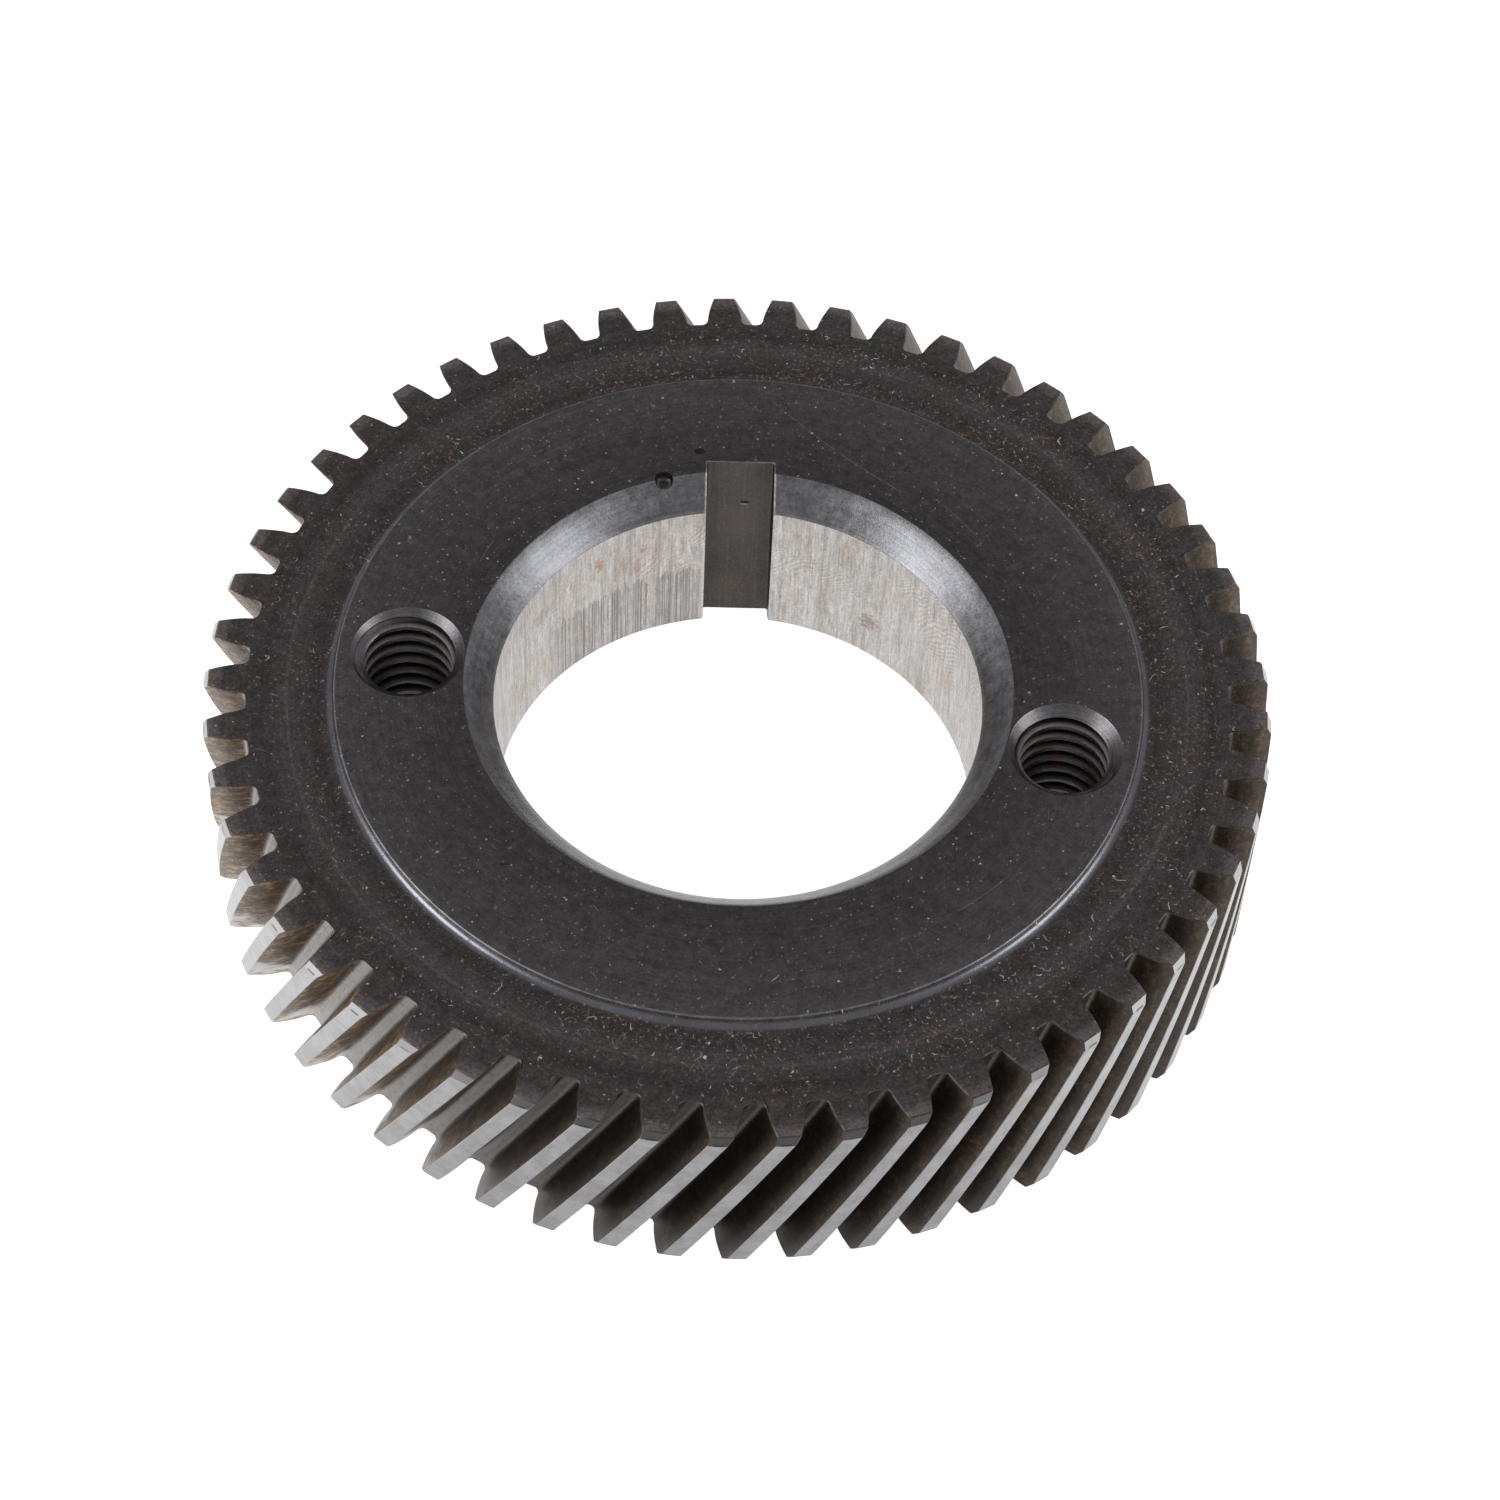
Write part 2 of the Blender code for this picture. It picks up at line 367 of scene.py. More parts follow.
def build_gear():
    body = turned_body()
    cutters = [keyway_cutter()]
    for a, start in zip(HOLE_ANGLES, (0.6, 2.4)):
        x, y = HOLE_CIRCLE * cos(a), HOLE_CIRCLE * sin(a)
        cutters += [thread_cutter(x, y, start), sink_cutter(x, y)]
    cutters.append(pocket_cutter(POCKET_ANGLE, POCKET_R))
    me = subtract(body, cutters)
    bpy.data.objects.remove(body, do_unlink=True)

    bm = bmesh.new()
    bm.from_mesh(me)
    bpy.data.meshes.remove(me)
    outer = [v for v in bm.verts if abs(sqrt(v.co.x ** 2 + v.co.y ** 2) - BLANK_R) < 2e-3]
    wall = [f for f in bm.faces if all(abs(sqrt(v.co.x ** 2 + v.co.y ** 2) - BLANK_R) < 2e-3 for v in f.verts)]
    bmesh.ops.delete(bm, geom=wall, context='FACES_ONLY')
    seam = [e for e in bm.edges if len(e.link_faces) == 0]
    if seam:
        bmesh.ops.delete(bm, geom=seam, context='EDGES')
    order = lambda v: atan2(v.co.y, v.co.x)
    rim_top = sorted([v for v in outer if v.is_valid and v.co.z > (RIM_TOP + RIM_BOTTOM) / 2], key=order)
    rim_bottom = sorted([v for v in outer if v.is_valid and v.co.z < (RIM_TOP + RIM_BOTTOM) / 2], key=order)

    slope = TIP_CH_R / TIP_CH_Z
    levels = [(RIM_TOP, TIP_R - TIP_CH_R, EDGE_BREAK),
              (RIM_TOP - EDGE_BREAK, TIP_R - TIP_CH_R + slope * EDGE_BREAK, 0.0),
              (RIM_TOP - TIP_CH_Z, TIP_R, 0.0)]
    steps = 14
    for s in range(1, steps):
        z = RIM_TOP - TIP_CH_Z + (RIM_BOTTOM - RIM_TOP + 2 * TIP_CH_Z) * s / steps
        levels.append((z, TIP_R, 0.0))
    levels += [(RIM_BOTTOM + TIP_CH_Z, TIP_R, 0.0),
               (RIM_BOTTOM + EDGE_BREAK, TIP_R - TIP_CH_R + slope * EDGE_BREAK, 0.0),
               (RIM_BOTTOM, TIP_R - TIP_CH_R, EDGE_BREAK)]
    rings = [add_loop(bm, tooth_ring(*lv)) for lv in levels]
    for a, b in zip(rings, rings[1:]):
        skin(bm, a, b)
    zip_loops(bm, rings[0], rim_top)
    zip_loops(bm, rings[-1], rim_bottom)
    bmesh.ops.triangulate(bm, faces=[f for f in bm.faces if len(f.verts) > 4])
    bmesh.ops.recalc_face_normals(bm, faces=bm.faces)
    open_edges = sum(1 for e in bm.edges if not e.is_manifold)
    print("gear mesh:", len(bm.verts), "verts", len(bm.faces), "faces", open_edges, "open edges")

    holes = [(HOLE_CIRCLE * cos(a), HOLE_CIRCLE * sin(a)) for a in HOLE_ANGLES]
    for f in bm.faces:
        c = f.calc_center_median()
        n = f.normal
        r = sqrt(c.x * c.x + c.y * c.y)
        radial = (n.x * c.x + n.y * c.y) / r
        slot = 0
        pocket = sqrt((c.x - POCKET_R * cos(POCKET_ANGLE)) ** 2 + (c.y - POCKET_R * sin(POCKET_ANGLE)) ** 2)
        near_hole = min(sqrt((c.x - x) ** 2 + (c.y - y) ** 2) for x, y in holes)
        if near_hole < SINK_R + 0.02 and abs(n.z) < 0.98:
            slot = 4
        elif abs(c.x) < 2.02 and c.y > 13.0 and abs(n.z) < 0.3 and (abs(n.x) > 0.9 or c.y > 16.1):
            slot = 3
        elif pocket < 0.57 and in_pocket(c, n):
            slot = 6 if n.x < -0.35 else 0
        elif r < BORE_R + 0.04 and abs(n.z) < 0.35:
            slot = 1
        elif r < 15.99 and abs(n.z) < 0.98:
            slot = 2
        elif r > BLANK_R + 0.3 and abs(n.z) < 0.98:
            slot = 6 if (radial > 0.75 and r > TIP_R - TIP_CH_R - 0.06) else 5
        f.material_index = slot
        f.smooth = True
    bmesh.ops.scale(bm, verts=bm.verts, vec=(MM, MM, MM))
    me = bpy.data.meshes.new("gear")
    bm.to_mesh(me)
    bm.free()
    me.set_sharp_from_angle(angle=radians(24))
    gear = bpy.data.objects.new("gear", me)
    bpy.context.scene.collection.objects.link(gear)
    return gear


# ================================================================== materials
class Nodes:
    """Short names for building a node tree."""

    def __init__(self, name):
        self.mat = bpy.data.materials.new(name)
        self.mat.use_nodes = True
        self.nt = self.mat.node_tree
        self.bsdf = self.nt.nodes["Principled BSDF"]
        tex = self.nt.nodes.new("ShaderNodeTexCoord")
        self.p = self.vmath('SCALE', tex.outputs["Object"], scale=1000.0)   # in mm
        sep = self.nt.nodes.new("ShaderNodeSeparateXYZ")
        self.nt.links.new(self.p, sep.inputs[0])
        self.x, self.y, self.z = sep.outputs
        self.r = self.math('SQRT', self.math('ADD', self.math('MULTIPLY', self.x, self.x),
                                             self.math('MULTIPLY', self.y, self.y)))
        self.theta = self.math('ARCTAN2', self.y, self.x)

    def put(self, socket, value):
        if isinstance(value, bpy.types.NodeSocket):
            self.nt.links.new(value, socket)
        else:
            socket.default_value = value

    def math(self, op, a, b=None, c=None, clamp=False):
        n = self.nt.nodes.new("ShaderNodeMath")
        n.operation, n.use_clamp = op, clamp
        for i, v in enumerate((a, b, c)):
            if v is not None:
                self.put(n.inputs[i], v)
        return n.outputs[0]

    def vmath(self, op, a, b=None, scale=None):
        n = self.nt.nodes.new("ShaderNodeVectorMath")
        n.operation = op
        self.put(n.inputs[0], a)
        if b is not None:
            self.put(n.inputs[1], b)
        if scale is not None:
            self.put(n.inputs["Scale"], scale)
        return n.outputs["Value"] if op in ('LENGTH', 'DOT_PRODUCT', 'DISTANCE') else n.outputs[0]

    def xyz(self, x, y, z=0.0):
        n = self.nt.nodes.new("ShaderNodeCombineXYZ")
        for i, v in enumerate((x, y, z)):
            self.put(n.inputs[i], v)
        return n.outputs[0]

    def noise(self, vec, scale, detail=3.0, rough=0.55, distort=0.0, out="Fac"):
        n = self.nt.nodes.new("ShaderNodeTexNoise")
        self.put(n.inputs["Vector"], vec)
        self.put(n.inputs["Scale"], scale)
        n.inputs["Detail"].default_value = detail
        n.inputs["Roughness"].default_value = rough
        n.inputs["Distortion"].default_value = distort
        return n.outputs[out]

    def step(self, v, lo, hi):
        """0 below lo to 1 above hi, smooth (lo may be above hi)."""
        n = self.nt.nodes.new("ShaderNodeMapRange")
        n.interpolation_type = 'SMOOTHSTEP'
        self.put(n.inputs["Value"], v)
        if lo <= hi:
            n.inputs["From Min"].default_value, n.inputs["From Max"].default_value = lo, hi
            n.inputs["To Min"].default_value, n.inputs["To Max"].default_value = 0.0, 1.0
        else:
            n.inputs["From Min"].default_value, n.inputs["From Max"].default_value = hi, lo
            n.inputs["To Min"].default_value, n.inputs["To Max"].default_value = 1.0, 0.0
        return n.outputs["Result"]

    def lerp(self, v, lo, hi):
        n = self.nt.nodes.new("ShaderNodeMapRange")
        self.put(n.inputs["Value"], v)
        n.inputs["To Min"].default_value, n.inputs["To Max"].default_value = lo, hi
        return n.outputs["Result"]

    def mix(self, fac, a, b, mode='MIX'):
        n = self.nt.nodes.new("ShaderNodeMix")
        n.data_type, n.blend_type = 'RGBA', mode
        self.put(n.inputs[0], fac)
        for sock, v in ((n.inputs[6], a), (n.inputs[7], b)):
            if isinstance(v, bpy.types.NodeSocket):
                self.nt.links.new(v, sock)
            else:
                sock.default_value = (*v, 1.0) if len(v) == 3 else v
        return n.outputs[2]

    def ramp(self, fac, stops, interp='LINEAR'):
        n = self.nt.nodes.new("ShaderNodeValToRGB")
        n.color_ramp.interpolation = interp
        els = n.color_ramp.elements
        while len(els) < len(stops):
            els.new(0.5)
        for e, (pos, col) in zip(els, stops):
            e.position = pos
            e.color = (*col, 1.0) if len(col) == 3 else col
        self.put(n.inputs[0], fac)
        return n.outputs[0]

    def voronoi(self, vec, scale, out="Distance", feature='F1', dims='3D', randomness=1.0):
        n = self.nt.nodes.new("ShaderNodeTexVoronoi")
        n.voronoi_dimensions, n.feature = dims, feature
        self.put(n.inputs["Vector"], vec)
        self.put(n.inputs["Scale"], scale)
        n.inputs["Randomness"].default_value = randomness
        return n.outputs[out], n.outputs

    def polar(self, radial, around, along=0.0):
        """Coordinates with no seam: marks that run round the axis."""
        return self.xyz(self.math('MULTIPLY', self.r, radial),
                        self.math('MULTIPLY', self.math('COSINE', self.theta), around),
                        self.math('ADD', self.math('MULTIPLY', self.math('SINE', self.theta), around),
                                  self.math('MULTIPLY', self.z, along)))

    def bits(self, cell, length, width, share, seed, round_share=0.0):
        """Short curved fibres and flakes scattered over a flat face.
        Returns (mask, random colour per bit)."""
        q = self.vmath('ADD', self.p, (seed * 7.31, seed * -3.77, 0.0))
        q = self.vmath('MULTIPLY', q, (1.0, 1.0, 0.0))
        n = self.nt.nodes.new("ShaderNodeTexVoronoi")
        n.voronoi_dimensions, n.feature = '2D', 'F1'
        self.put(n.inputs["Vector"], q)
        n.inputs["Scale"].default_value = 1.0 / cell
        n.inputs["Randomness"].default_value = 1.0
        colour = n.outputs["Color"]
        # the Position output is in the coordinates that went in
        off = self.vmath('SUBTRACT', q, n.outputs["Position"])
        sep = self.nt.nodes.new("ShaderNodeSeparateXYZ")
        self.nt.links.new(off, sep.inputs[0])
        rnd = self.nt.nodes.new("ShaderNodeSeparateColor")
        self.nt.links.new(colour, rnd.inputs[0])
        r1, r2, r3 = rnd.outputs[0], rnd.outputs[1], rnd.outputs[2]
        ang = self.math('MULTIPLY', r1, 6.2832)
        ca, sa = self.math('COSINE', ang), self.math('SINE', ang)
        u = self.math('ADD', self.math('MULTIPLY', sep.outputs[0], ca), self.math('MULTIPLY', sep.outputs[1], sa))
        v = self.math('SUBTRACT', self.math('MULTIPLY', sep.outputs[1], ca), self.math('MULTIPLY', sep.outputs[0], sa))
        # bend each one by its own amount
        bend = self.math('MULTIPLY', self.math('SUBTRACT', r2, 0.5), 3.2 / max(length, 0.05))
        v = self.math('ADD', v, self.math('MULTIPLY', bend, self.math('MULTIPLY', u, u)))
        wob = self.noise(self.p, 9.0 / max(length * 4, 0.4), 1.0)
        v = self.math('ADD', v, self.math('MULTIPLY', self.math('SUBTRACT', wob, 0.5), width * 2.2))
        scale = self.lerp(r3, 0.35, 1.25)
        lu = self.math('DIVIDE', self.math('ABSOLUTE', u), self.math('MULTIPLY', scale, length / 2))
        lv = self.math('DIVIDE', self.math('ABSOLUTE', v), width / 2)
        # a fibre narrows to its ends
        lv = self.math('MULTIPLY', lv, self.math('ADD', 1.0, self.math('MULTIPLY', lu, 0.7)))
        m = self.math('MULTIPLY', self.step(lu, 1.0, 0.86), self.step(lv, 1.0, 0.55))
        pick = self.math('FRACT', self.math('MULTIPLY', self.math('ADD', r1, r3), 13.7))
        if isinstance(share, bpy.types.NodeSocket):
            chosen = self.math('LESS_THAN', pick, share)
        else:
            chosen = self.math('LESS_THAN', pick, float(share))
        return self.math('MULTIPLY', m, chosen), self.math('FRACT', self.math('MULTIPLY', self.math('ADD', r2, r3), 7.9))

    def bump(self, height, strength, distance, normal=None):
        n = self.nt.nodes.new("ShaderNodeBump")
        n.inputs["Strength"].default_value = strength
        n.inputs["Distance"].default_value = distance
        self.put(n.inputs["Height"], height)
        if normal is not None:
            self.nt.links.new(normal, n.inputs["Normal"])
        return n.outputs[0]

    def finish(self, colour, rough, metal=1.0, normal=None, specular=None):
        self.put(self.bsdf.inputs["Base Color"], colour if isinstance(colour, bpy.types.NodeSocket) else (*colour, 1.0))
        self.put(self.bsdf.inputs["Roughness"], rough)
        self.put(self.bsdf.inputs["Metallic"], metal)
        if normal is not None:
            self.put(self.bsdf.inputs["Normal"], normal)
        if specular is not None:
            self.bsdf.inputs["Specular IOR Level"].default_value = specular
        return self.mat


def face_material():
    k = Nodes("oxide_face")
    cloud = k.noise(k.p, 0.16, 4.0, 0.6)
    mott = k.noise(k.p, 1.3, 4.0, 0.65)
    rings = k.noise(k.polar(6.0, 1.1), 1.0, 3.0, 0.7)
    fine = k.noise(k.polar(16.0, 1.6), 1.0, 2.0, 0.6)
    grain = k.noise(k.p, 5.5, 4.0, 0.75)
    top = k.step(k.z, 6.0, 8.0)
    recess = k.math('MULTIPLY', k.step(k.r, 23.2, 23.7), k.step(k.r, 28.9, 26.6))
    outer = k.step(k.r, 23.1, 23.8)

    colour = k.mix(k.step(cloud, 0.35, 0.68), (0.136, 0.131, 0.132), (0.141, 0.137, 0.143))
    # how dark the oxide is from the bore out to the tips: turning, wear and handling; from 29.35 mm outward the stops
    # are a painted highlight, lighter where the outer ends of the teeth slope slightly and catch the light
    stops = [(15.0, .84), (16.3, .85), (18.3, .94), (20.4, 1.06), (22.0, 1.14), (22.8, 1.22), (23.1, 1.25),
             (23.5, .95), (24.0, .80), (24.4, .85), (25.0, .97), (25.6, 1.10), (25.68, 1.35), (25.78, 1.32),
             (25.86, 1.10), (26.2, 1.06), (26.6, .97), (26.9, .84), (27.1, .78), (27.4, .88), (27.9, .95),
             (28.6, .99), (29.05, .98), (29.35, 1.12), (29.6, 1.55), (29.9, 1.95), (30.1, 2.1), (31.0, 2.2)]
    wobble = k.math('MULTIPLY', k.math('SUBTRACT', k.noise(k.p, 0.5, 2.0), 0.5), 0.30)
    place = k.math('DIVIDE', k.math('SUBTRACT', k.math('ADD', k.r, wobble), 15.0), 16.0)
    oxide_tone_and_tip_sheen = k.ramp(place, [((r - 15.0) / 16.0, (v / 2.5,) * 3) for r, v in stops])
    colour = k.mix(1.0, colour, k.vmath('SCALE', oxide_tone_and_tip_sheen, scale=2.5), 'MULTIPLY')

    film = k.math('MULTIPLY', k.step(k.noise(k.p, 0.5, 5.0, 0.65), 0.38, 0.68), outer)
    film = k.math('ADD', film, k.math('MULTIPLY', k.step(k.r, 26.8, 27.6), 0.25), clamp=True)
    colour = k.mix(k.math('MULTIPLY', film, 0.75), colour, k.mix(1.0, colour, (1.10, 0.965, 0.875), 'MULTIPLY'))
    rough_skin = k.lerp(outer, 1.0, 1.5)
    def vary(colour, v, amount):
        gain = k.math('ADD', 1.0, k.math('MULTIPLY', k.math('SUBTRACT', v, 0.5), amount))
        return k.mix(1.0, colour, gain, 'MULTIPLY')
    colour = vary(colour, grain, k.math('MULTIPLY', rough_skin, 1.45))
    colour = k.mix(1.0, colour, (1.03, 0.975, 0.985), 'MULTIPLY')
    colour = vary(colour, mott, 1.0)
    colour = vary(colour, rings, 0.55)
    colour = vary(colour, fine, 0.45)
    # small dark spots where the oxide is thicker
    spots = k.step(k.noise(k.p, 2.6, 3.0, 0.6), 0.36, 0.30)
    colour = k.mix(k.math('MULTIPLY', spots, 0.35), colour, (0.075, 0.068, 0.066))

    # painted highlight with some edge wear: a bright line on the broken edge of the hub
    edge = k.math('MULTIPLY', k.step(k.r, 22.93, 22.97), k.step(k.r, 23.10, 23.05))
    edge = k.math('MULTIPLY', edge, k.lerp(k.noise(k.polar(1.0, 22.0), 1.0, 3.0), -0.2, 1.1))
    colour = k.mix(k.math('MULTIPLY', edge, 0.75, clamp=True), colour, (0.60, 0.60, 0.62))
    # painted reflection: the flank of the step is painted bluish grey in patches, where it would mirror the light
    step_wall = k.math('MULTIPLY', k.step(k.r, 23.06, 23.15), k.step(k.r, 23.50, 23.34))
    step_reflection_patches = k.lerp(k.noise(k.polar(2.0, 9.0), 1.0, 3.0), 0.1, 0.8)
    colour = k.mix(k.math('MULTIPLY', step_wall, step_reflection_patches), colour, (0.40, 0.41, 0.47))
    # a burr along the mouth of the keyway, coloured light as a painted highlight of the glint it catches
    ax = k.math('ABSOLUTE', k.x)
    mouth = k.math('MULTIPLY', k.step(ax, 2.10, 2.03), k.math('MULTIPLY', k.step(k.y, 15.4, 15.6), k.step(k.y, 16.50, 16.43)))
    mouth = k.math('MULTIPLY', mouth, k.lerp(k.noise(k.p, 3.5, 2.0), -0.2, 1.3), clamp=True)
    colour = k.mix(k.math('MULTIPLY', mouth, 0.8), colour, (0.55, 0.54, 0.53))

    rough = k.lerp(cloud, 0.40, 0.50)
    rough = k.math('ADD', rough, k.math('MULTIPLY', k.math('SUBTRACT', rings, 0.5), 0.25))
    rough = k.math('SUBTRACT', rough, k.math('MULTIPLY', step_wall, 0.16))

    # long curved scratch, with fainter ones beside it, on the front hub face
    def scratch(x0, y0, x1, y1, sag, width):
        dx, dy = x1 - x0, y1 - y0
        ln = sqrt(dx * dx + dy * dy)
        ux, uy = dx / ln, dy / ln
        qx, qy = k.math('SUBTRACT', k.x, x0), k.math('SUBTRACT', k.y, y0)
        u = k.math('ADD', k.math('MULTIPLY', qx, ux), k.math('MULTIPLY', qy, uy))
        v = k.math('SUBTRACT', k.math('MULTIPLY', qy, ux), k.math('MULTIPLY', qx, uy))
        t = k.math('DIVIDE', u, ln)
        arc = k.math('MULTIPLY', k.math('MULTIPLY', t, k.math('SUBTRACT', 1.0, t)), 4.0 * sag)
        v = k.math('ABSOLUTE', k.math('SUBTRACT', v, arc))
        m = k.math('MULTIPLY', k.step(v, width, width * 0.35), k.math('MULTIPLY', k.step(t, 0.0, 0.02), k.step(t, 1.0, 0.98)))
        broken = k.lerp(k.noise(k.p, 2.6, 2.0), -0.2, 1.4)
        return k.math('MULTIPLY', m, k.math('MULTIPLY', broken, top), clamp=True)

    marks = scratch(SCRATCH_A[0], SCRATCH_A[1], SCRATCH_B[0], SCRATCH_B[1], 0.30, 0.05)
    marks = k.math('MAXIMUM', marks, scratch(-15.1, 8.3, -14.4, 9.9, 0.05, 0.06))
    marks = k.math('MAXIMUM', marks, scratch(12.0, 13.4, 14.2, 10.5, 0.1, 0.035))
    marks = k.math('MAXIMUM', marks, scratch(-15.9, -2.6, -14.9, -2.9, 0.25, 0.05))
    marks = k.math('MAXIMUM', marks, scratch(15.2, -13.0, 12.1, -15.7, 0.1, 0.05))
    colour = k.mix(k.math('MULTIPLY', marks, 0.6), colour, (0.42, 0.41, 0.41))

    # dust, lint and flakes: thin on the hub, thick in the recess
    where = k.math('ADD', k.math('MULTIPLY', k.step(k.noise(k.p, 0.22, 2.0), 0.38, 0.60), 0.65), 0.25)
    right = k.step(k.x, -24.0, 16.0)
    where = k.math('MULTIPLY', where, k.math('ADD', 0.45, k.math('MULTIPLY', right, 0.55)))
    corner = k.math('ADD', 1.0, k.math('MULTIPLY', k.step(k.r, 25.2, 23.9), 0.9))
    rec_share = k.math('MULTIPLY', k.math('MULTIPLY', where, recess), corner)
    hub_only = k.math('SUBTRACT', 1.0, recess)
    flake, f1 = k.bits(0.95, 0.62, 0.075, k.math('MULTIPLY', rec_share, 0.62), 1)
    flake2, f2 = k.bits(0.55, 0.32, 0.09, k.math('MULTIPLY', rec_share, 0.85), 2)
    crumb, f3 = k.bits(0.62, 0.15, 0.13, k.math('ADD', k.math('MULTIPLY', hub_only, 0.24), k.math('MULTIPLY', rec_share, 0.9)), 3)
    fibre, f4 = k.bits(2.3, 0.8, 0.05, k.math('ADD', 0.10, k.math('MULTIPLY', rec_share, 0.4)), 4)
    tiny, f5 = k.bits(0.38, 0.10, 0.09, k.math('ADD', 0.26, k.math('MULTIPLY', rec_share, 0.7)), 5)
    big, f6 = k.bits(3.1, 0.26, 0.22, k.math('ADD', 0.10, k.math('MULTIPLY', rec_share, 0.35)), 6)
    def tinted(colour, m, f, gain):
        tint = k.ramp(f, [(0.0, (0.22, 0.175, 0.135)), (0.28, (0.34, 0.26, 0.19)), (0.44, (0.42, 0.33, 0.26)),
                          (0.58, (0.40, 0.20, 0.09)), (0.80, (0.52, 0.31, 0.16)), (0.92, (0.62, 0.57, 0.54)), (1.0, (0.95, 0.92, 0.90))])
        shade = k.math('MULTIPLY', k.math('MULTIPLY', m, k.lerp(f, 0.45 * gain, gain)), k.math('ADD', 0.15, k.math('MULTIPLY', top, 0.85)))
        return k.mix(shade, colour, tint), shade
    dirt = None
    for m, f, gain in ((tiny, f5, 0.9), (crumb, f3, 1.0), (flake2, f2, 0.95), (flake, f1, 0.85), (fibre, f4, 0.8), (big, f6, 0.95)):
        colour, shade = tinted(colour, m, f, gain)
        dirt = shade if dirt is None else k.math('MAXIMUM', dirt, shade)

    # dark smudges
    def smudge(x, y, w, h):
        d = k.math('ADD', k.math('POWER', k.math('DIVIDE', k.math('SUBTRACT', k.x, x), w), 2.0),
                   k.math('POWER', k.math('DIVIDE', k.math('SUBTRACT', k.y, y), h), 2.0))
        d = k.math('ADD', d, k.math('MULTIPLY', k.math('SUBTRACT', k.noise(k.p, 3.0, 2.0), 0.5), 1.6))
        return k.math('MULTIPLY', k.step(d, 1.2, 0.4), top)
    dark = k.math('MAXIMUM', smudge(SMUDGE[0], SMUDGE[1], 0.40, 0.26), k.math('MULTIPLY', smudge(-12.9, -13.2, 0.45, 0.07), 0.7))
    colour = k.mix(k.math('MULTIPLY', dark, 0.8), colour, (0.03, 0.03, 0.032))

    metal = k.math('SUBTRACT', 1.0, k.math('MULTIPLY', k.math('MAXIMUM', dirt, mouth), 0.9))
    rough = k.math('ADD', rough, k.math('MULTIPLY', dirt, 0.3), clamp=True)
    relief = k.math('ADD', k.math('MULTIPLY', rings, 0.5), k.math('MULTIPLY', fine, 0.35))
    relief = k.math('ADD', relief, k.math('MULTIPLY', grain, 0.6))
    n = k.bump(relief, 0.25, 0.00004)
    n = k.bump(dirt, 0.6, 0.00006, n)
    return k.finish(colour, rough, metal, n)


